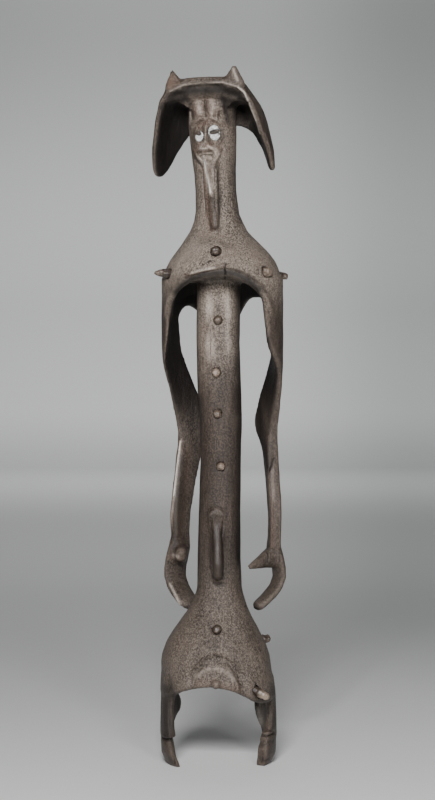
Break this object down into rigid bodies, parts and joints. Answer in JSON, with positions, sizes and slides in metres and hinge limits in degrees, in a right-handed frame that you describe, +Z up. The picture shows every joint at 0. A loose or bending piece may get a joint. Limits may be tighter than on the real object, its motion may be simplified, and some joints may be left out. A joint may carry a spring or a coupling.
{
  "type": "mumuye figure",
  "caption": "Carved wooden standing figure: hood with hanging flaps and short horns, long neck, shoulder shell, curved plate arms, column torso, bell pelvis and short legs",
  "frame": {"origin": "on the floor plane, under the middle of the whole figure's box", "axes": "+Z up, -Y is the figure's front, +X is the figure's own left"},
  "size_m": [0.1866, 0.1664, 0.9441],
  "materials": {
    "dark_wood": "dark hand-carved hardwood with a dusty, partly polished patina",
    "peg_wood": "worn turned-down wooden pegs",
    "eye_metal": "dull white sheet metal"
  },
  "bodies": {
    "root": {"figure": "dark_wood", "peg_chest": "peg_wood", "peg_right_shoulder": "peg_wood", "peg_left_shoulder_front": "peg_wood", "peg_left_shoulder_back": "peg_wood", "peg_torso_1": "peg_wood", "peg_torso_2": "peg_wood", "peg_torso_3": "peg_wood", "peg_torso_4": "peg_wood", "peg_pelvis": "peg_wood", "peg_left_hip": "peg_wood", "peg_left_thigh": "peg_wood", "eye_right": "eye_metal", "eye_left": "eye_metal"}
  },
  "joints": []
}
